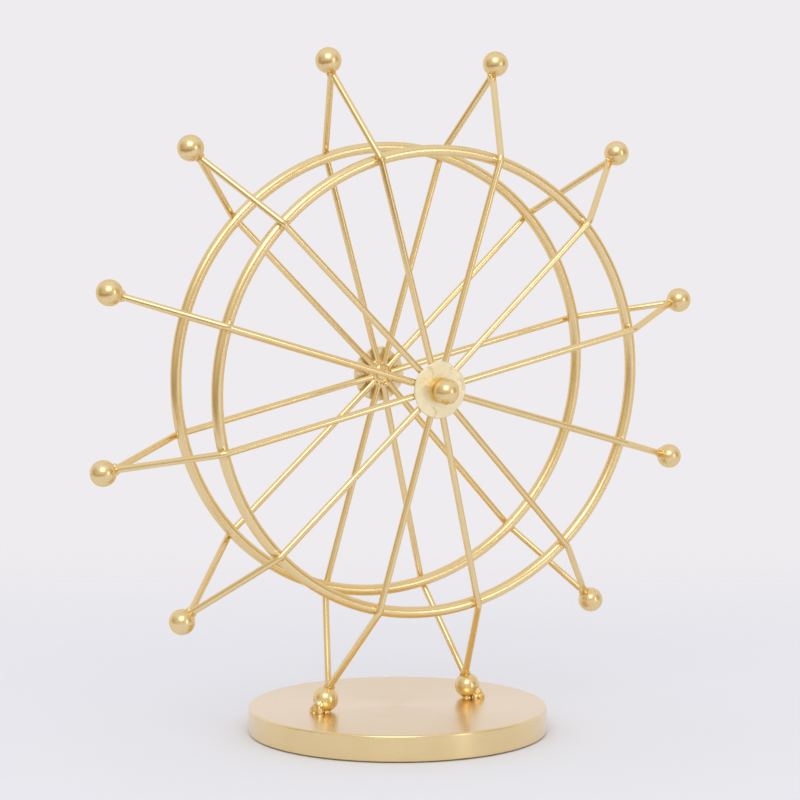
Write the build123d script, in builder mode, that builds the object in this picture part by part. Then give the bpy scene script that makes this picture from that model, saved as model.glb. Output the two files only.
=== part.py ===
from build123d import *
import os
from math import asin, atan2, cos, hypot, radians, sin, sqrt, tan

# A desk ornament in the shape of a ferris wheel, welded from plated steel wire, rod and balls.
# Millimetres and degrees. +Z is up and the origin is the middle of the pad's underside.
# The wheel's axis runs front to back: the front of the wheel faces -Y.
# Every piece is welded or glued in place, so nothing turns.

# Base
base_diameter = 120.0
base_thickness = 10.0
base_top_round = 0.8
base_bottom_round = 0.5
pad_diameter = 112.0
pad_thickness = 1.0
pad_proud = 0.5  # how far the pad stands out of its recess

# Wheel
spoke_pairs = 12
ball_circle_diameter = 260.0
ball_diameter = 10.0
ring_diameter = 180.0  # centre line of the rod
ring_rod_diameter = 4.4
ring_spacing = 42.2  # front ring to rear ring, centre to centre
ring_rise = 1.5  # the rings are welded on a little above the hub
wheel_lean = 4.4  # the wheel stands leaning towards its front
spoke_wire_diameter = 2.6
# How many degrees anticlockwise each pair of spokes was welded off its even place, from the foot
# on the right round to the foot on the left. The two feet lean in alike, so both reach the base.
spoke_drift = (-0.8, -1.5, -0.5, -1.0, 0.0, 0.0, 2.5, 1.5, -1.0, -1.0, -1.0, 0.8)

# Hubs
disc_diameter = 22.4
disc_thickness = 1.0
disc_edge_round = 0.3
hub_ball_diameter = 10.0
seat_diameter = 10.0
seat_height = 2.0
pin_diameter = 4.6
pin_length_in_ball = 4.0
pin_end_round = 0.6
spoke_start_radius = 4.2

# Fits and welds
seam = 0.02  # hair gap where two pieces are welded against each other
apex_overrun = 0.6  # how far the tip of each wire pair reaches into the ball's outline
ring_bead_diameter = 2.8
ring_bead_spread = 3.3  # across the wire, from bead to bead
hub_weld_radius = 6.8
hub_weld_height = 1.7
ball_bead_diameter = 3.8
ball_bead_setback = 1.2  # from the ball's surface to the bead's middle, towards the hub
foot_weld_diameter = 6.4
foot_weld_height = 1.1
foot_bead_diameter = 3.4

# Worked out from the sizes above
FRONT = 1
REAR = -1
QUARTER_TURN = 90
SIDES = {"front": FRONT, "rear": REAR}
pitch = 360 / spoke_pairs
ball_radius = ball_diameter / 2
ball_circle_radius = ball_circle_diameter / 2
ring_radius = ring_diameter / 2
wire_radius = spoke_wire_diameter / 2
base_top = pad_proud + base_thickness
foot_height = base_top + ball_radius + seam
hub_above_feet = ball_circle_radius * cos(radians(pitch / 2 + spoke_drift[0]))
wrap_radius = ring_rod_diameter / 2 + wire_radius + seam
spoke_offset = ring_spacing / 2 + wrap_radius
disc_inner_face = spoke_offset + wire_radius + seam
disc_outer_face = disc_inner_face + disc_thickness
hub_ball_offset = disc_outer_face + seam + hub_ball_diameter / 2
apex_radius = ball_circle_radius - ball_radius + apex_overrun

wheel_up = Vector(0, -sin(radians(wheel_lean)), cos(radians(wheel_lean)))
wheel_front = Vector(0, -cos(radians(wheel_lean)), -sin(radians(wheel_lean)))
hub_centre = Vector(0, 0, foot_height) + wheel_up * hub_above_feet
# The wheel's middle plane: its x is to the right, its y up and its normal to the front.
wheel_plane = Plane(origin=hub_centre, x_dir=(1, 0, 0), z_dir=wheel_front)


def spoke_angle(index):
    """Angle of a pair of spokes, counted anticlockwise from the foot on the right."""
    return pitch / 2 - QUARTER_TURN + index * pitch + spoke_drift[index % spoke_pairs]


def outward(angle):
    """Direction from the hub to a point of the rim."""
    return wheel_plane.x_dir * cos(radians(angle)) + wheel_up * sin(radians(angle))


def ball_centre(angle):
    return hub_centre + outward(angle) * ball_circle_radius


def radial_plane(angle):
    """Plane through the wheel's axis: x runs out from the hub and y to the front."""
    out = outward(angle)
    return Plane(origin=hub_centre, x_dir=out, z_dir=out.cross(wheel_front))


def crossing_radius(angle):
    """Distance from the hub to the ring, which sits above the hub by ring_rise."""
    across = ring_rise * cos(radians(angle))
    return ring_rise * sin(radians(angle)) + sqrt(ring_radius**2 - across**2)


def spoke_points(angle, side):
    """Straight legs of one wire: along the disc and the ring, then in to the ball."""
    crossing = crossing_radius(angle)
    run = apex_radius - crossing
    fall = spoke_offset - wrap_radius
    bend = atan2(fall, run) + asin(wrap_radius / hypot(run, fall))
    corner = crossing + wrap_radius * tan(bend / 2)
    past_apex = spoke_wire_diameter
    tip = (apex_radius + past_apex * cos(bend), -side * past_apex * sin(bend))
    return [(spoke_start_radius, side * spoke_offset), (corner, side * spoke_offset), tip]


def bent_wire(angle, side, radius):
    """One wire before its ends are trimmed."""
    with BuildPart() as wire:
        with BuildLine(radial_plane(angle)) as route:
            FilletPolyline(*spoke_points(angle, side), radius=wrap_radius)
        with BuildSketch(Plane(origin=route.line @ 0, z_dir=route.line % 0)):
            Circle(radius)
        sweep(path=route.line)
    return wire.part


def sized_ring(side, rod_diameter):
    """The ring on one side of the wheel, of any thickness of rod."""
    centre = hub_centre + wheel_up * ring_rise + wheel_front * (side * ring_spacing / 2)
    with BuildPart() as ring:
        with Locations(Plane(origin=centre, x_dir=(1, 0, 0), z_dir=wheel_front)):
            Torus(ring_radius, rod_diameter / 2)
    return ring.part


def weld_bead(centre, seam_side, pole, diameter, neighbours):
    """A bead of weld with the room of its neighbours cut out of it. Its pole and the seam of its
    skin are turned to where nothing cuts it."""
    with BuildPart() as bead:
        with Locations(Plane(origin=centre, x_dir=seam_side, z_dir=pole)):
            Sphere(diameter / 2)
        for neighbour in neighbours:
            add(neighbour, mode=Mode.SUBTRACT)
    return bead.part


def save(builder, name):
    builder.part.label = name
    export_step(builder.part, f"parts/{name}.step")


os.makedirs("parts", exist_ok=True)

# Base plate: a thick round plate with a shallow recess for the pad below
with BuildPart() as base_plate:
    with BuildSketch(Plane.XY.offset(pad_proud)):
        Circle(base_diameter / 2)
    extrude(amount=base_thickness)
    fillet(base_plate.edges().sort_by(Axis.Z)[-1], base_top_round)
    fillet(base_plate.edges().sort_by(Axis.Z)[0], base_bottom_round)
    with BuildSketch(Plane.XY.offset(pad_proud)):
        Circle(pad_diameter / 2 + seam)
    extrude(amount=pad_thickness - pad_proud, mode=Mode.SUBTRACT)
save(base_plate, "base_plate")

# Pad: a thin disc glued into the recess, the only thing that touches the table
with BuildPart() as base_pad:
    with BuildSketch(Plane.XY):
        Circle(pad_diameter / 2)
    extrude(amount=pad_thickness)
save(base_pad, "base_pad")

# Rings: rod bent into a circle, one each side of the wheel's middle plane
for side_name, side in SIDES.items():
    with BuildPart() as ring:
        add(sized_ring(side, ring_rod_diameter))
    save(ring, f"{side_name}_ring")

# Spokes: one wire each, from the hub disc over the outer face of its ring and in to the ball,
# where it is mitred against its partner. At the hub the wires are ground to points that fit.
spokes = {side_name: [] for side_name in SIDES}
for side_name, side in SIDES.items():
    for index in range(spoke_pairs):
        angle = spoke_angle(index)
        with BuildPart() as spoke:
            add(bent_wire(angle, side, wire_radius))
            split(bisect_by=wheel_plane, keep=Keep.TOP if side == FRONT else Keep.BOTTOM)
            for turn in (-1, 1):
                between = (angle + spoke_angle(index - turn)) / 2
                inward_normal = outward(between + turn * QUARTER_TURN)
                split(bisect_by=Plane(origin=hub_centre, z_dir=inward_normal), keep=Keep.TOP)
            with Locations(ball_centre(angle)):
                Sphere(ball_radius + seam, mode=Mode.SUBTRACT)
        save(spoke, f"{side_name}_spoke_{index + 1:02d}")
        spokes[side_name].append(spoke.part)

# Balls: the two lowest stand on the base as feet, the others end the spoke pairs
balls = []
for index in range(spoke_pairs):
    with BuildPart() as ball:
        with Locations(ball_centre(spoke_angle(index))):
            Sphere(ball_radius)
    if index == 0:
        save(ball, "foot_ball_right")
    elif index == spoke_pairs - 1:
        save(ball, "foot_ball_left")
    else:
        save(ball, f"rim_ball_{index:02d}")
    balls.append(ball.part)

# Hubs: on each side a thin disc over the spoke ends, and a ball in a seat, held by a pin
for side_name, side in SIDES.items():
    with BuildPart() as hub_disc:
        with BuildSketch(wheel_plane.offset(side * disc_inner_face)):
            Circle(disc_diameter / 2)
        extrude(amount=side * disc_thickness)
        fillet(hub_disc.edges().filter_by(GeomType.CIRCLE), disc_edge_round)
        with BuildSketch(wheel_plane.offset(side * disc_inner_face)):
            Circle(pin_diameter / 2 + seam)
        extrude(amount=side * disc_thickness, mode=Mode.SUBTRACT)
    save(hub_disc, f"{side_name}_hub_disc")

    pin_inner_end = spoke_offset - wire_radius
    pin_outer_end = hub_ball_offset - hub_ball_diameter / 2 + pin_length_in_ball
    with BuildPart() as hub_pin:
        with BuildSketch(wheel_plane.offset(side * pin_inner_end)):
            Circle(pin_diameter / 2)
        extrude(amount=side * (pin_outer_end - pin_inner_end))
        inner_rim = hub_pin.edges().filter_by(GeomType.CIRCLE).sort_by_distance(hub_centre)[0]
        fillet(inner_rim, pin_end_round)
    save(hub_pin, f"{side_name}_hub_pin")

    ball_place = hub_centre + wheel_front * (side * hub_ball_offset)
    with BuildPart() as hub_ball:
        with Locations(ball_place):
            Sphere(hub_ball_diameter / 2)
        with BuildSketch(wheel_plane.offset(side * disc_outer_face)):
            Circle(pin_diameter / 2 + seam)
        extrude(amount=side * (pin_outer_end + seam - disc_outer_face), mode=Mode.SUBTRACT)
    save(hub_ball, f"{side_name}_hub_ball")

    with BuildPart() as ball_seat:
        with BuildSketch(wheel_plane.offset(side * (disc_outer_face + seam))):
            Circle(seat_diameter / 2)
            Circle(pin_diameter / 2 + seam, mode=Mode.SUBTRACT)
        extrude(amount=side * seat_height)
        with Locations(ball_place):
            Sphere(hub_ball_diameter / 2 + seam, mode=Mode.SUBTRACT)
    save(ball_seat, f"{side_name}_hub_ball_seat")

    # Weld that has run in among the spoke ends, on the disc's inner face
    with BuildPart() as hub_weld:
        with BuildSketch(wheel_plane.offset(side * (disc_inner_face - seam))):
            Circle(hub_weld_radius)
            Circle(pin_diameter / 2 + seam, mode=Mode.SUBTRACT)
        extrude(amount=-side * hub_weld_height)
        for wire in spokes[side_name]:
            add(wire, mode=Mode.SUBTRACT)
    save(hub_weld, f"{side_name}_hub_weld")

# Ring welds: a bead on each side of every wire, in the corner between wire and ring
for side_name, side in SIDES.items():
    ring_room = sized_ring(side, ring_rod_diameter + 2 * seam)
    beads = []
    for index in range(spoke_pairs):
        angle = spoke_angle(index)
        wire_room = bent_wire(angle, side, wire_radius + seam)
        out = outward(angle)
        outer_face = wheel_front * side
        crossing = hub_centre + out * crossing_radius(angle) + outer_face * (spoke_offset - wire_radius)
        for turn in (-1, 1):
            along_ring = outward(angle + turn * QUARTER_TURN)
            place = crossing + along_ring * (ring_bead_spread / 2)
            corner = outer_face + along_ring
            rooms = [ring_room, wire_room]
            beads.append(weld_bead(place, out, corner, ring_bead_diameter, rooms))
    with BuildPart() as ring_welds:
        add(beads)
    save(ring_welds, f"{side_name}_ring_welds")

# Ball welds: a bead in each V, where two wires meet a ball
bead_distance = ball_circle_radius - ball_radius - ball_bead_setback
beads = []
for index in range(spoke_pairs):
    angle = spoke_angle(index)
    with BuildPart() as ball_room:
        with Locations(ball_centre(angle)):
            Sphere(ball_radius + seam)
    wire_rooms = [bent_wire(angle, side, wire_radius + seam) for side in SIDES.values()]
    out = outward(angle)
    across = outward(angle + QUARTER_TURN)
    place = hub_centre + out * bead_distance
    rooms = wire_rooms + [ball_room.part]
    beads.append(weld_bead(place, -out, across, ball_bead_diameter, rooms))
with BuildPart() as ball_welds:
    add(beads)
save(ball_welds, "ball_welds")

# Foot welds: a low ring of weld under each foot ball, with a bead on its outer side
with BuildPart() as foot_welds:
    for index, outer_side in ((0, 1), (spoke_pairs - 1, -1)):
        foot = ball_centre(spoke_angle(index))
        with BuildSketch(Plane(origin=(foot.X, foot.Y, base_top))):
            Circle(foot_weld_diameter / 2)
        extrude(amount=foot_weld_height)
        with Locations((foot.X + outer_side * foot_weld_diameter / 2, foot.Y, base_top)):
            Sphere(foot_bead_diameter / 2)
    split(bisect_by=Plane.XY.offset(base_top), keep=Keep.TOP)
    for index in (0, spoke_pairs - 1):
        add(balls[index], mode=Mode.SUBTRACT)
save(foot_welds, "foot_welds")
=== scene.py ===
"""A ferris wheel desk ornament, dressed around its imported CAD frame.

Metres. +Z is up and the wheel faces -Y.
"""

import math

import bmesh
import bpy
from mathutils import Matrix, Vector, noise


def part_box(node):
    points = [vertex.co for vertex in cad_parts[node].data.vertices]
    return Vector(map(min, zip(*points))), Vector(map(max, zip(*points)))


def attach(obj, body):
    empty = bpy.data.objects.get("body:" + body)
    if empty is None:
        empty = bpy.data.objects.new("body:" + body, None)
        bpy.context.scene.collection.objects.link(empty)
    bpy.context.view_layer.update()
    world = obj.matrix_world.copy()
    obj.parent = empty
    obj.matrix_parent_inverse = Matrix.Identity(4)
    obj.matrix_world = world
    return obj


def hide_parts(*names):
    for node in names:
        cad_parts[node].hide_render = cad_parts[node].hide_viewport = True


MM = 0.001

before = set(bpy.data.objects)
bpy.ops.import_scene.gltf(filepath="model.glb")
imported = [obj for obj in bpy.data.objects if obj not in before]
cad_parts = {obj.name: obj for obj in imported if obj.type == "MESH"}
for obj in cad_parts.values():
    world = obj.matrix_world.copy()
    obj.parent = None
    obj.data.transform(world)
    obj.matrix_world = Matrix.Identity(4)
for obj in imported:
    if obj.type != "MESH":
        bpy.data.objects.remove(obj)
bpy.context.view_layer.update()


# ---------------------------------------------------------------- sizes read from the frame


def middle(node):
    low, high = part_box(node)
    return (Vector(low) + Vector(high)) / 2


def width(node):
    low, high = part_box(node)
    return high[0] - low[0]


SIDES = {"front": 1, "rear": -1}
QUARTER_TURN = math.pi / 2
SPOKE_PAIRS = 12
PITCH = math.tau / SPOKE_PAIRS
FEET = {0: "foot_ball_right", SPOKE_PAIRS - 1: "foot_ball_left"}

ROD_RADIUS = 2.2 * MM
WIRE_RADIUS = 1.3 * MM
DISC_THICKNESS = 1.0 * MM
PIN_RADIUS = 2.3 * MM
SEAM = 0.02 * MM

ring_middles = {side: middle(f"{side}_ring") for side in SIDES}
ring_spacing = (ring_middles["front"] - ring_middles["rear"]).length
wheel_front = (ring_middles["front"] - ring_middles["rear"]).normalized()
wheel_right = Vector((1, 0, 0))
wheel_up = wheel_right.cross(wheel_front) * -1
hub = (middle("front_hub_disc") + middle("rear_hub_disc")) / 2
ring_rise = ((ring_middles["front"] + ring_middles["rear"]) / 2 - hub).dot(wheel_up)
ring_radius = width("front_ring") / 2 - ROD_RADIUS
ball_radius = width("foot_ball_left") / 2
ball_circle = (middle("foot_ball_left") - hub).length
base_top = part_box("base_plate")[1][2]
pad_radius = width("base_pad") / 2
disc_radius = width("front_hub_disc") / 2
wrap_radius = ROD_RADIUS + WIRE_RADIUS + SEAM
spoke_offset = ring_spacing / 2 + wrap_radius
disc_inner_face = spoke_offset + WIRE_RADIUS + SEAM
apex_radius = ball_circle - ball_radius


def spoke_angle(index):
    """Angle of a pair of spokes, counted anticlockwise from the foot on the right."""
    index %= SPOKE_PAIRS
    out = middle(FEET.get(index, f"rim_ball_{index:02d}")) - hub
    return math.atan2(out.dot(wheel_up), out.dot(wheel_right))


def on_wheel(radius, angle, depth=0.0):
    """A point of the wheel: out from the hub, round it, and to the front of the middle plane."""
    out = wheel_right * math.cos(angle) + wheel_up * math.sin(angle)
    return hub + out * radius + wheel_front * depth


def crossing_radius(angle):
    """Distance from the hub to the ring's centre line, which sits a little above the hub."""
    across = ring_rise * math.cos(angle)
    return ring_rise * math.sin(angle) + math.sqrt(ring_radius**2 - across**2)


def wire_bend(angle):
    """How far a wire turns where it goes over its ring."""
    run = apex_radius - crossing_radius(angle)
    fall = ring_spacing / 2
    return math.atan2(fall, run) + math.asin(wrap_radius / math.hypot(run, fall))


# ---------------------------------------------------------------- mesh helpers


def as_object(name, bm):
    """Turns a bmesh into an object of the scene."""
    mesh = bpy.data.meshes.new(name)
    bm.to_mesh(mesh)
    bm.free()
    made = bpy.data.objects.new(name, mesh)
    bpy.context.collection.objects.link(made)
    return made


def as_piece(name, bm):
    """Turns a bmesh into a smooth piece that rides on the part."""
    piece = as_object(name, bm)
    for face in piece.data.polygons:
        face.use_smooth = True
    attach(piece, "root")
    return piece


def join_rows(bm, row, following):
    """Faces between two closed rows of as many corners."""
    for step in range(len(row)):
        corner = (step + 1) % len(row)
        bm.faces.new((row[step], row[corner], following[corner], following[step]))


TUBE_SIDES = 20


def add_tube(bm, points, radius):
    """A closed tube of round section along a line of points."""
    rings = []
    for index, point in enumerate(points):
        before = points[max(index - 1, 0)]
        after = points[min(index + 1, len(points) - 1)]
        turn = (after - before).to_track_quat("Z", "X").to_matrix()
        steps = [step * math.tau / TUBE_SIDES for step in range(TUBE_SIDES)]
        ring = [point + turn @ Vector((math.cos(a), math.sin(a), 0)) * radius for a in steps]
        rings.append([bm.verts.new(place) for place in ring])
    for ring, following in zip(rings, rings[1:]):
        join_rows(bm, ring, following)
    bm.faces.new(list(reversed(rings[0])))
    bm.faces.new(rings[-1])


# Scales of the noise that makes a lump's skin uneven: over its own skin, and from lump to lump
LUMP_BUMPS = 1.7
LUMP_PATTERN = 900


def add_lump(bm, place, radius, stretch=(1, 1, 1), roughness=0.18, turn=Matrix.Identity(3)):
    """A lump of weld: a ball pressed out of round, with an uneven skin."""
    lump = bmesh.ops.create_icosphere(bm, subdivisions=3, radius=1)["verts"]
    for vert in lump:
        uneven = 1 + roughness * noise.noise(vert.co * LUMP_BUMPS + place * LUMP_PATTERN)
        shaped = Vector(axis * scale for axis, scale in zip(vert.co, stretch))
        vert.co = place + turn @ (shaped * radius * uneven)


VOXEL = 0.2 * MM  # cell of the skin drawn over melted forms
MELT_STRENGTH = 0.5


def melt(name, bm, passes):
    """Joins overlapping forms into one skin whose inner corners run together like weld."""
    piece = as_piece(name, bm)
    skin = piece.modifiers.new("skin", "REMESH")
    skin.mode = "VOXEL"
    skin.voxel_size = VOXEL
    skin.use_smooth_shade = True
    flow = piece.modifiers.new("flow", "SMOOTH")
    flow.factor = MELT_STRENGTH
    flow.iterations = passes
    return piece


# ---------------------------------------------------------------- materials


def node(tree, kind, inputs=None, **settings):
    """A shader node with its settings. Inputs are values, or other nodes' outputs to link."""
    made = tree.nodes.new(kind)
    for name, value in settings.items():
        setattr(made, name, value)
    for socket, value in (inputs or {}).items():
        if isinstance(value, bpy.types.NodeSocket):
            tree.links.new(value, made.inputs[socket])
        else:
            made.inputs[socket].default_value = value
    return made


def new_material(name):
    """A material's node tree, with the material itself."""
    material = bpy.data.materials.new(name)
    material.use_nodes = True
    return material, material.node_tree


def object_place(tree):
    """A point's place in its object, in metres."""
    return node(tree, "ShaderNodeTexCoord").outputs["Object"]


def ramp(tree, value, start, end, low=0.0, high=1.0, smooth=True):
    """Runs from low at start to high at end, and stays there past them."""
    inputs = {"Value": value, "From Min": start, "From Max": end, "To Min": low, "To Max": high}
    kind = "SMOOTHSTEP" if smooth else "LINEAR"
    return node(tree, "ShaderNodeMapRange", inputs, interpolation_type=kind).outputs[0]


def between(tree, share, first, second):
    """Two colours blended by a share. The first may be a mix already made."""
    # Sockets 6 and 7 of a Mix node are its two colours, and output 2 is its colour.
    mix = node(tree, "ShaderNodeMix", {"Factor": share, 7: (*second, 1)}, data_type="RGBA")
    if isinstance(first, tuple):
        mix.inputs[6].default_value = (*first, 1)
    else:
        tree.links.new(first, mix.inputs[6])
    return mix.outputs[2]


SLOWLY_ROUND = 0.004  # how much the grain changes round the axis, so that its lines are drawn out


def turned_coordinates(tree):
    """Coordinates that follow a lathe: out from the axis, up, and slowly round."""
    split = node(tree, "ShaderNodeSeparateXYZ", {"Vector": object_place(tree)})
    square = node(tree, "ShaderNodeMath", {0: split.outputs["X"], 1: 2}, operation="POWER")
    other = node(tree, "ShaderNodeMath", {0: split.outputs["Y"], 1: 2}, operation="POWER")
    total = node(tree, "ShaderNodeMath", {0: square.outputs[0], 1: other.outputs[0]}, operation="ADD")
    radius = node(tree, "ShaderNodeMath", {0: total.outputs[0]}, operation="SQRT")
    angle = node(
        tree, "ShaderNodeMath", {0: split.outputs["Y"], 1: split.outputs["X"]}, operation="ARCTAN2"
    )
    slow = node(tree, "ShaderNodeMath", {0: angle.outputs[0], 1: SLOWLY_ROUND}, operation="MULTIPLY")
    joined = node(
        tree,
        "ShaderNodeCombineXYZ",
        {"X": radius.outputs[0], "Y": split.outputs["Z"], "Z": slow.outputs[0]},
    )
    return joined.outputs[0]


MOTTLE = 90  # scale of the soft clouds in the gold's tone
NOISE_RANGE = (0.3, 0.7)  # where most of a noise texture's values lie
ACROSS_THE_LINES = 0.25  # a quarter turn, as a share of a turn


def gold(
    name,
    bright,
    deep,
    edge,
    roughness,
    spread=0.06,
    grain=2600,
    grain_depth=0.0015 * MM,
    dents=0.0,
    dent_scale=300,
    turned=0.0,
    lacquer=0.0,
    metal=1.0,
):
    """Satin plated gold: two close tones in soft clouds, uneven gloss, fine grain and shallow dents.

    Turned is how far a highlight is drawn out across the lines that a lathe left, from 0 to 1.
    """
    material, tree = new_material(name)
    surface = tree.nodes["Principled BSDF"]
    place = object_place(tree)
    clouds = node(
        tree, "ShaderNodeTexNoise", {"Vector": place, "Scale": MOTTLE, "Detail": 4, "Roughness": 0.55}
    )
    tone = between(tree, clouds.outputs["Fac"], bright, deep)
    tree.links.new(tone, surface.inputs["Base Color"])
    surface.inputs["Metallic"].default_value = metal
    surface.inputs["Specular Tint"].default_value = (*edge, 1)
    surface.inputs["Coat Weight"].default_value = lacquer
    surface.inputs["Coat Roughness"].default_value = roughness
    if turned:
        surface.inputs["Anisotropic"].default_value = turned
        surface.inputs["Anisotropic Rotation"].default_value = ACROSS_THE_LINES
        lines = node(tree, "ShaderNodeTangent", direction_type="RADIAL", axis="Z")
        tree.links.new(lines.outputs["Tangent"], surface.inputs["Tangent"])
    grain_place = turned_coordinates(tree) if turned else place
    fine = node(
        tree,
        "ShaderNodeTexNoise",
        {"Vector": grain_place, "Scale": grain, "Detail": 3, "Roughness": 0.6},
    )
    least, most = roughness - spread / 2, roughness + spread / 2
    gloss = ramp(tree, fine.outputs["Fac"], *NOISE_RANGE, least, most, smooth=False)
    tree.links.new(gloss, surface.inputs["Roughness"])
    bump = node(
        tree,
        "ShaderNodeBump",
        {"Height": fine.outputs["Fac"], "Strength": 1.0, "Distance": grain_depth},
    )
    normal = bump.outputs["Normal"]
    if dents:
        hollows = node(
            tree, "ShaderNodeTexNoise", {"Vector": place, "Scale": dent_scale, "Detail": 1.5}
        )
        pressed = node(
            tree,
            "ShaderNodeBump",
            {"Height": hollows.outputs["Fac"], "Strength": 1.0, "Distance": dents, "Normal": normal},
        )
        normal = pressed.outputs["Normal"]
    tree.links.new(normal, surface.inputs["Normal"])
    return material


FOAM_DARK = (0.035, 0.04, 0.05)
FOAM_LIGHT = (0.07, 0.075, 0.085)
FOAM_ROUGHNESS = (0.95, 0.75)  # in a pore's middle and at its rim
PORE_SCALE = 1500
PORE_DEPTH = 0.15 * MM


def foam_rubber():
    """Dark closed-cell foam with fine pores."""
    material, tree = new_material("pad_foam")
    surface = tree.nodes["Principled BSDF"]
    place = object_place(tree)
    pores = node(tree, "ShaderNodeTexVoronoi", {"Vector": place, "Scale": PORE_SCALE})
    clouds = node(tree, "ShaderNodeTexNoise", {"Vector": place, "Scale": 120, "Detail": 4})
    tone = between(tree, clouds.outputs["Fac"], FOAM_DARK, FOAM_LIGHT)
    tree.links.new(tone, surface.inputs["Base Color"])
    gloss = ramp(tree, pores.outputs["Distance"], 0, 1, *FOAM_ROUGHNESS, smooth=False)
    tree.links.new(gloss, surface.inputs["Roughness"])
    bump = node(
        tree, "ShaderNodeBump", {"Height": pores.outputs["Distance"], "Distance": PORE_DEPTH}
    )
    tree.links.new(bump.outputs["Normal"], surface.inputs["Normal"])
    return material


BRIGHT = (0.90, 0.72, 0.41)
DEEP = (0.85, 0.655, 0.33)
EDGE = (0.95, 0.85, 0.65)
BASE_EDGE = (0.96, 0.95, 1.0)
PALE = (0.98, 0.90, 0.66)
DULL = (0.90, 0.78, 0.50)
ROD_GRAIN = {"spread": 0.02, "grain": 900, "grain_depth": 0.0003 * MM}

finishes = {
    "base": gold(
        "base_satin",
        BRIGHT,
        DEEP,
        BASE_EDGE,
        0.26,
        spread=0.03,
        grain=1400,
        grain_depth=0.0004 * MM,
        turned=0.6,
        lacquer=0.6,
    ),
    "ring": gold("ring_satin", BRIGHT, DEEP, EDGE, 0.25, **ROD_GRAIN),
    "wire": gold("wire_satin", BRIGHT, DEEP, EDGE, 0.20, **ROD_GRAIN),
    "ball": gold("ball_satin", BRIGHT, DEEP, EDGE, 0.27, spread=0.04, dents=0.01 * MM),
    "disc": gold(
        "disc_satin", PALE, DULL, EDGE, 0.42, dents=0.22 * MM, dent_scale=620, metal=0.7
    ),
    "pin": gold("pin_satin", BRIGHT, DEEP, EDGE, 0.30),
    "weld": gold("weld_cast", BRIGHT, DEEP, EDGE, 0.22, dents=0.08 * MM, dent_scale=900),
    "pad": foam_rubber(),
}


def dress(piece, finish):
    piece.data.materials.clear()
    piece.data.materials.append(finishes[finish])


# Finish by what a node's name holds. The first that fits counts.
FINISH_OF = {
    "base_plate": "base",
    "base_pad": "pad",
    "ring_welds": "weld",
    "ball_welds": "weld",
    "foot_welds": "weld",
    "hub_weld": "weld",
    "hub_disc": "disc",
    "hub_pin": "pin",
    "spoke": "wire",
    "ball": "ball",
    "ring": "ring",
}
for node_name, cad_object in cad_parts.items():
    finish = next(value for key, value in FINISH_OF.items() if key in node_name)
    for slot in cad_object.material_slots:
        slot.material = finishes[finish]


# ---------------------------------------------------------------- welds

BEND_STEPS = 6
TUCK = 0.05 * MM  # how far a weld's hidden core lies under the surface of the wires it joins
BEFORE_BEND = 2.4 * MM  # how much of the wire a weld's core follows before and after its bend
AFTER_BEND = 0.8 * MM
RING_REACH = 3.0 * MM  # how far it follows the ring to each side of the wire


def bent_route(angle, facing):
    """The wire's centre line, from before its bend over the ring to a way after it."""
    crossing = crossing_radius(angle)
    bend = wire_bend(angle)
    points = [on_wheel(crossing - BEFORE_BEND, angle, facing * spoke_offset)]
    for step in range(BEND_STEPS + 1):
        turn = bend * step / BEND_STEPS
        radius = crossing + wrap_radius * math.sin(turn)
        depth = ring_spacing / 2 + wrap_radius * math.cos(turn)
        points.append(on_wheel(radius, angle, facing * depth))
    radius += AFTER_BEND * math.cos(bend)
    depth -= AFTER_BEND * math.sin(bend)
    points.append(on_wheel(radius, angle, facing * depth))
    return points


def ring_route(angle, side):
    """The ring's centre line, for a short way to each side of a wire."""
    centre = ring_middles[side]
    crossing = on_wheel(crossing_radius(angle), angle, SIDES[side] * ring_spacing / 2)
    out = (crossing - centre).normalized()
    along = wheel_front.cross(out)
    turns = [RING_REACH / ring_radius * step / 2 for step in range(-2, 3)]
    return [centre + (out * math.cos(a) + along * math.sin(a)) * ring_radius for a in turns]


# Two lumps at each crossing: radius and its spread, how far beside the wire and sunk under it,
# and the scales of the noise that makes them differ
RING_LUMP_RADIUS = 0.95 * MM
RING_LUMP_SPREAD = 0.3 * MM
RING_LUMP_BESIDE = 1.55 * MM
RING_LUMP_SUNK = 0.35 * MM
RING_PATTERN = (700, 900)


def add_ring_welds(side):
    """Weld in the corners between each wire and the ring it crosses."""
    facing = SIDES[side]
    bm = bmesh.new()
    for index in range(SPOKE_PAIRS):
        angle = spoke_angle(index)
        add_tube(bm, bent_route(angle, facing), WIRE_RADIUS - TUCK)
        add_tube(bm, ring_route(angle, side), ROD_RADIUS - TUCK)
        contact_depth = facing * (ring_spacing / 2 + ROD_RADIUS)
        contact = on_wheel(crossing_radius(angle), angle, contact_depth)
        for turn in (-1, 1):
            beside = on_wheel(RING_LUMP_BESIDE * turn, angle + QUARTER_TURN) - hub
            uneven = noise.noise(contact * RING_PATTERN[0] + beside * RING_PATTERN[1])
            lump = contact + beside - wheel_front * facing * RING_LUMP_SUNK
            add_lump(bm, lump, RING_LUMP_RADIUS + RING_LUMP_SPREAD * uneven)
    welds = melt(f"{side}_ring_weld_beads", bm, passes=6)
    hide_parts(f"{side}_ring_welds")
    return welds


APEX_INSIDE = 0.6 * MM  # how far inside a ball its two wires meet
V_LENGTH = 4.2 * MM  # of each wire's end that the weld's core follows
# One lump in the V of the wires and one each side of it. Before is how far it lies outside the
# ball's skin, aside is along the wheel's axis and beside is round the wheel.
V_LUMP_RADIUS = 1.6 * MM
V_LUMP_BEFORE = 0.9 * MM
V_LUMP_ASIDE = 0.4 * MM
SIDE_LUMP_RADIUS = 1.0 * MM
SIDE_LUMP_SPREAD = 0.6 * MM
SIDE_LUMP_BESIDE = 1.25 * MM
SIDE_LUMP_BEFORE = 0.1 * MM
SIDE_LUMP_ASIDE = 0.5 * MM
BALL_PATTERN = 600


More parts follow.
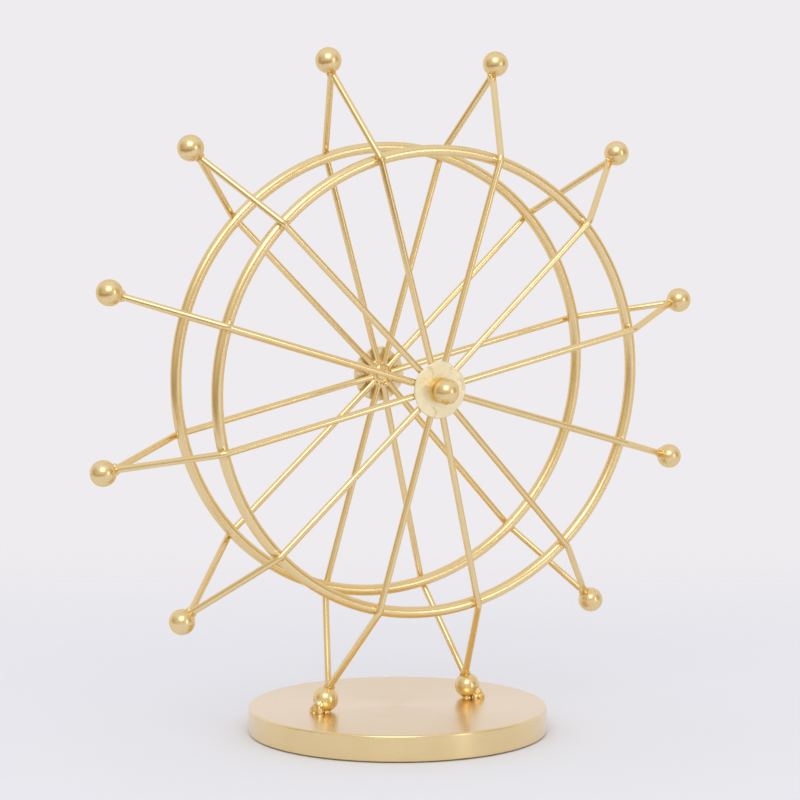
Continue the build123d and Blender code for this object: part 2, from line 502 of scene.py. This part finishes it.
def add_ball_welds():
    """Weld where each pair of wires runs into its ball."""
    bm = bmesh.new()
    for index in range(SPOKE_PAIRS):
        angle = spoke_angle(index)
        bend = wire_bend(angle)
        apex = on_wheel(apex_radius + APEX_INSIDE, angle)
        start_radius = apex_radius + APEX_INSIDE - V_LENGTH * math.cos(bend)
        for facing in SIDES.values():
            start = on_wheel(start_radius, angle, facing * V_LENGTH * math.sin(bend))
            add_tube(bm, [start, start.lerp(apex, 0.5), apex], WIRE_RADIUS - TUCK)
        uneven = noise.noise(apex * BALL_PATTERN)
        in_the_v = on_wheel(apex_radius - V_LUMP_BEFORE, angle, V_LUMP_ASIDE * uneven)
        add_lump(bm, in_the_v, V_LUMP_RADIUS)
        for turn in (-1, 1):
            side_lump = on_wheel(apex_radius - SIDE_LUMP_BEFORE, angle, SIDE_LUMP_ASIDE * turn)
            side_lump += on_wheel(SIDE_LUMP_BESIDE * turn, angle + QUARTER_TURN) - hub
            add_lump(bm, side_lump, SIDE_LUMP_RADIUS + SIDE_LUMP_SPREAD * uneven * turn)
    welds = melt("ball_weld_beads", bm, passes=6)
    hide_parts("ball_welds")
    return welds


# Lumps of weld down the side of each foot: to the right, to the front and up from under the ball,
# and the lump's radius, all in millimetres.
FOOT_LUMPS = {
    "foot_ball_right": (
        (3.2, 3.0, 2.8, 1.9),
        (4.3, 3.3, 1.3, 1.6),
        (5.0, 3.3, 0.3, 1.3),
        (2.3, 3.4, 0.4, 1.3),
        (4.4, 1.4, 0.6, 1.5),
    ),
    "foot_ball_left": (
        (-3.6, 1.8, 3.2, 2.1),
        (-4.3, 0.5, 1.7, 2.2),
        (-4.5, -1.4, 0.7, 1.8),
        (-3.6, 2.2, 0.9, 1.7),
        (-5.1, -0.2, 0.3, 1.6),
    ),
}
UNDER_FOOT = (2.3, 2.3, 0.5)  # the flat pool of weld right under a foot, in millimetres


def add_foot_welds():
    """Weld that holds each foot to the base, run down one side of it in a lumpy slope."""
    bm = bmesh.new()
    for foot_name, lumps in FOOT_LUMPS.items():
        foot = middle(foot_name)
        under = Vector((foot.x, foot.y, base_top))
        add_lump(bm, foot, ball_radius - TUCK, roughness=0)
        add_lump(bm, under, MM, stretch=UNDER_FOOT, roughness=0.1)
        for right, front, up, radius in lumps:
            add_lump(bm, under + Vector((right, -front, up)) * MM, radius * MM, roughness=0.2)
    welds = melt("foot_weld_beads", bm, passes=12)
    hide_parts("foot_welds")
    return welds


POOL = (6.4, 6.4, 1.5)  # the weld's puddle on the disc, in millimetres from its middle
HUB_CORE = (4.4 * MM, 8.0 * MM)  # where its cores start and end along the spokes
# A lump between each two spokes: how far out, radius and its spread, height over the disc
HUB_LUMP_OUT = 4.6 * MM
HUB_LUMP_RADIUS = 1.0 * MM
HUB_LUMP_SPREAD = 0.7 * MM
HUB_LUMP_HEIGHT = 1.3 * MM
HUB_PATTERN = 800


def add_hub_weld(side):
    """Weld run in among the spoke ends, on the disc's inner face."""
    facing = SIDES[side]
    bm = bmesh.new()
    inner = facing * (disc_inner_face - SEAM)
    turn = Matrix((wheel_right, wheel_up, wheel_front)).transposed()
    add_lump(bm, on_wheel(0, 0, inner), MM, POOL, 0.12, turn)
    for index in range(SPOKE_PAIRS):
        angle = spoke_angle(index)
        start, end = (on_wheel(radius, angle, facing * spoke_offset) for radius in HUB_CORE)
        add_tube(bm, [start, start.lerp(end, 0.5), end], WIRE_RADIUS - TUCK)
        uneven = noise.noise(start * HUB_PATTERN)
        height = inner - facing * HUB_LUMP_HEIGHT
        place = on_wheel(HUB_LUMP_OUT + uneven * MM, angle + PITCH / 2, height)
        add_lump(bm, place, HUB_LUMP_RADIUS + HUB_LUMP_SPREAD * uneven)
    weld = melt(f"{side}_hub_weld_metal", bm, passes=5)
    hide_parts(f"{side}_hub_weld")
    return weld


# ---------------------------------------------------------------- hub discs

DISC_RINGS = 44
DISC_SECTORS = 240
# Creases in the sheet, as arcs: middle right and up, radius (shares of the disc's radius),
# start and end in degrees, depth in millimetres.
CREASES = (
    (-0.62, 0.50, 0.34, 10, 62, 0.46),
    (-0.36, -0.80, 0.24, -50, 55, 0.50),
    (0.56, 0.06, 0.36, -20, 46, 0.40),
    (0.74, 0.66, 0.32, 150, 205, 0.30),
)
CREASE_WIDTH = 0.30 * MM
CREASE_FADE = 12  # degrees over which a crease dies out past its ends
# Flats on the rim where the sheet was cut short: middle and half width in degrees, depth as a share.
RIM_FLATS = ((52, 18, 0.07), (20, 9, 0.02), (125, 12, 0.02), (200, 12, 0.02), (318, 12, 0.03))


def crease_depth(right, up):
    """How far the sheet's face is pressed in at a point, in metres."""
    total = 0.0
    for middle_right, middle_up, radius, start, end, depth in CREASES:
        across = right / disc_radius - middle_right
        above = up / disc_radius - middle_up
        angle = math.degrees(math.atan2(above, across))
        past_end = max(start - angle, angle - end, 0) / CREASE_FADE
        off_arc = (math.hypot(across, above) - radius) * disc_radius / CREASE_WIDTH
        total += depth * MM * math.exp(-(off_arc**2) - past_end**2)
    return total


RIM_SHARE = 0.994
RIM_RIPPLE = 0.006
RIPPLE_SCALE = 4


def rim_share(angle):
    """The rim's radius at an angle, as a share of the disc's."""
    cut = 0.0
    for centre, half_width, depth in RIM_FLATS:
        off = (math.degrees(angle) - centre + 180) % 360 - 180
        cut += depth * max(0.0, 1 - (off / half_width) ** 2)
    ripple = RIM_RIPPLE * noise.noise(Vector((math.cos(angle), math.sin(angle), 0)) * RIPPLE_SCALE)
    return RIM_SHARE - cut + ripple


LIP_DEPTH = 0.34 * MM
LIP_STARTS = 0.95  # as a share of the way from the bore to the rim
SWELL_DEPTH = 0.10 * MM  # of the shallow dents all over the outer face
SWELL_SCALE = 260


def disc_point(skin, facing, angle, share):
    """A point of the sheet's inner or outer face, a share of the way from the bore to the rim."""
    bore = PIN_RADIUS + SEAM
    radius = bore + (disc_radius * rim_share(angle) - bore) * share
    depth = LIP_DEPTH * max(0.0, (share - LIP_STARTS) / (1 - LIP_STARTS)) ** 2
    if skin == "outer":
        right, up = radius * math.cos(angle), radius * math.sin(angle)
        swell = noise.noise(Vector((right, up, facing * 0.01)) * SWELL_SCALE) * SWELL_DEPTH
        depth = DISC_THICKNESS - crease_depth(right, up) - depth + min(swell, 0)
    return on_wheel(radius, angle, facing * (disc_inner_face + depth))


def add_hub_disc(side):
    """A thin sheet disc, cut and hammered by hand: an uneven rim, shallow dents and creases."""
    facing = SIDES[side]
    bm = bmesh.new()
    angles = [sector * math.tau / DISC_SECTORS for sector in range(DISC_SECTORS)]
    skins = []
    for skin in ("inner", "outer"):
        rows = []
        for ring in range(DISC_RINGS + 1):
            share = ring / DISC_RINGS
            rows.append([bm.verts.new(disc_point(skin, facing, angle, share)) for angle in angles])
        skins.append(rows)
    for rows in skins:
        for row, following in zip(rows, rows[1:]):
            join_rows(bm, row, following)
    inner, outer = skins
    for edge in (0, -1):
        join_rows(bm, inner[edge], outer[edge])
    bmesh.ops.recalc_face_normals(bm, faces=bm.faces)
    disc = as_piece(f"{side}_hub_sheet", bm)
    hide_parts(f"{side}_hub_disc")
    return disc


# ---------------------------------------------------------------- pad

PAD_SECTORS = 160
PAD_DIMPLE = 0.06 * MM
PAD_SHARES = (0.15, 0.3, 0.45, 0.6, 0.7, 0.8, 0.88, 0.94, 0.985)  # of its radius, underneath
PAD_RIM_STEPS = 8
PAD_DIMPLE_SCALE = 130


def add_pad():
    """A foam rubber disc, bulging a little at its rim and uneven underneath."""
    low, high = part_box("base_pad")
    half_height = (high[2] - low[2]) / 2
    bm = bmesh.new()
    profile = [(pad_radius * share, low[2]) for share in PAD_SHARES]
    rim_middle = pad_radius - half_height
    for step in range(1, PAD_RIM_STEPS):
        turn = -QUARTER_TURN + math.pi * step / PAD_RIM_STEPS
        across = rim_middle + half_height * math.cos(turn)
        profile.append((across, low[2] + half_height * (1 + math.sin(turn))))
    profile.append((rim_middle, high[2]))
    rows = []
    for radius, height in profile:
        row = []
        for sector in range(PAD_SECTORS):
            angle = sector * math.tau / PAD_SECTORS
            place = Vector((radius * math.cos(angle), radius * math.sin(angle), height))
            if height == low[2]:
                place.z += PAD_DIMPLE * abs(noise.noise(place * PAD_DIMPLE_SCALE))
            row.append(bm.verts.new(place))
        rows.append(row)
    bm.faces.new(list(reversed(rows[0])))
    for row, following in zip(rows, rows[1:]):
        join_rows(bm, row, following)
    bm.faces.new(rows[-1])
    bmesh.ops.recalc_face_normals(bm, faces=bm.faces)
    pad = as_piece("foam_pad", bm)
    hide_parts("base_pad")
    return pad


dress(add_pad(), "pad")
dress(add_ball_welds(), "weld")
dress(add_foot_welds(), "weld")
for side_name in SIDES:
    dress(add_ring_welds(side_name), "weld")
    dress(add_hub_weld(side_name), "weld")
    dress(add_hub_disc(side_name), "disc")


# ---------------------------------------------------------------- camera and studio

CAMERA_AZIMUTH = 26.89  # degrees to the right of the wheel's front
CAMERA_ELEVATION = 3.48  # degrees above the floor
CAMERA_DISTANCE = 875.2 * MM
CAMERA_TARGET = Vector((1.12, 0, 133.28)) * MM
SENSOR = 36.0
LENS = 98.47


def seen_from(azimuth, elevation):
    """Direction from the object, by degrees to the right of the camera and above the floor."""
    turn = math.radians(azimuth - CAMERA_AZIMUTH)
    rise = math.radians(elevation)
    return Vector((math.sin(turn) * math.cos(rise), -math.cos(turn) * math.cos(rise), math.sin(rise)))


def look_along(thing, direction):
    """Turns a lamp or the camera, which look along their own -Z."""
    thing.rotation_euler = direction.to_track_quat("-Z", "Y").to_euler()
    bpy.context.collection.objects.link(thing)


def add_camera():
    data = bpy.data.cameras.new("camera")
    data.sensor_width = SENSOR
    data.lens = LENS
    data.clip_start = 10 * MM
    camera = bpy.data.objects.new("camera", data)
    direction = seen_from(0, CAMERA_ELEVATION)
    camera.location = CAMERA_TARGET + direction * CAMERA_DISTANCE
    look_along(camera, -direction)
    bpy.context.scene.camera = camera


def add_softbox(name, azimuth, elevation, distance, size, brightness):
    """A rectangular lamp that looks at the wheel. Brightness 1 is a white card."""
    data = bpy.data.lights.new(name, "AREA")
    data.shape = "RECTANGLE"
    data.size, data.size_y = size
    data.energy = brightness * math.pi * size[0] * size[1]
    lamp = bpy.data.objects.new(name, data)
    direction = seen_from(azimuth, elevation)
    lamp.location = hub + direction * distance
    look_along(lamp, -direction)


BACKDROP = (0.862, 0.838, 0.862)
FLOOR = (0.87, 0.885, 0.94)
ROOM_FRONT = (0.73, 0.67, 0.56)
ROOM_SIDES = (0.54, 0.44, 0.28)
ROOM_HIGH = (0.86, 0.88, 0.92)
ROOM_BELOW = (0.38, 0.28, 0.16)
FLOOR_RADIUS = 2.0
FADE_BEHIND = (0.03, 0.65)  # where the table top starts and ends to fade, metres from the middle
FADE_IN_FRONT = (0.38, 0.46)
ROOM_RADIUS = 3.0
# Shares of the room's radius: where its walls fade in and its front wall starts, towards the
# camera, and where its colour changes up and down
ROOM_STARTS = (-0.35, 0.0)
FRONT_STARTS = (0.2, 0.85)
HIGH_STARTS = (0.25, 0.85)
BELOW_STARTS = (0.0, -0.15)
ROOM_CUT = -0.5


def add_world():
    world = bpy.data.worlds.new("studio")
    world.use_nodes = True
    sky = world.node_tree.nodes["Background"]
    sky.inputs["Color"].default_value = (*BACKDROP, 1)
    sky.inputs["Strength"].default_value = 1
    bpy.context.scene.world = world


def along(tree, direction):
    """How far a point lies in a direction."""
    inputs = {0: object_place(tree), 1: tuple(direction)}
    return node(tree, "ShaderNodeVectorMath", inputs, operation="DOT_PRODUCT").outputs["Value"]


def show_partly(tree, share, solid):
    """Shows a surface where the share is 1 and nothing where it is 0."""
    clear = node(tree, "ShaderNodeBsdfTransparent").outputs[0]
    blend = node(tree, "ShaderNodeMixShader", {0: share, 1: clear, 2: solid.outputs[0]})
    tree.links.new(blend.outputs[0], tree.nodes["Material Output"].inputs["Surface"])


def add_floor():
    """A white table top that ends in front and fades into the backdrop behind."""
    bm = bmesh.new()
    bmesh.ops.create_circle(bm, cap_ends=True, segments=96, radius=FLOOR_RADIUS)
    floor = as_object("floor", bm)
    material, tree = new_material("table_top")
    tree.nodes.remove(tree.nodes["Principled BSDF"])
    solid = node(tree, "ShaderNodeBsdfDiffuse", {"Color": (*FLOOR, 1)})
    behind = ramp(tree, along(tree, seen_from(180, 0)), *FADE_BEHIND, 1, 0)
    in_front = ramp(tree, along(tree, seen_from(-30, 0)), *FADE_IN_FRONT, 1, 0)
    shown = node(tree, "ShaderNodeMath", {0: behind, 1: in_front}, operation="MULTIPLY")
    show_partly(tree, shown.outputs[0], solid)
    floor.data.materials.append(material)


def add_room():
    """The dim room behind the camera, which the gold mirrors. The camera doesn't see it."""
    bm = bmesh.new()
    bmesh.ops.create_uvsphere(bm, u_segments=48, v_segments=24, radius=ROOM_RADIUS)
    low = [vert for vert in bm.verts if vert.co.z < ROOM_CUT * ROOM_RADIUS]
    bmesh.ops.delete(bm, geom=low, context="VERTS")
    room = as_object("room", bm)
    room.visible_camera = False
    room.visible_shadow = False
    material, tree = new_material("dim_room")
    tree.nodes.remove(tree.nodes["Principled BSDF"])
    toward = along(tree, seen_from(0, 0) / ROOM_RADIUS)
    height = along(tree, Vector((0, 0, 1)) / ROOM_RADIUS)
    wall = between(tree, ramp(tree, toward, *FRONT_STARTS), ROOM_SIDES, ROOM_FRONT)
    wall = between(tree, ramp(tree, height, *HIGH_STARTS), wall, ROOM_HIGH)
    wall = between(tree, ramp(tree, height, *BELOW_STARTS), wall, ROOM_BELOW)
    glow = node(tree, "ShaderNodeEmission", {"Color": wall, "Strength": 1})
    show_partly(tree, ramp(tree, toward, *ROOM_STARTS), glow)
    room.data.materials.append(material)


add_camera()
add_world()
add_floor()
add_room()
add_softbox("key", -4, 37, 1.5, (0.9, 0.8), 2.1)
add_softbox("window", 50, 3, 1.8, (0.26, 0.9), 2.8)
bpy.context.scene.view_settings.view_transform = "Standard"
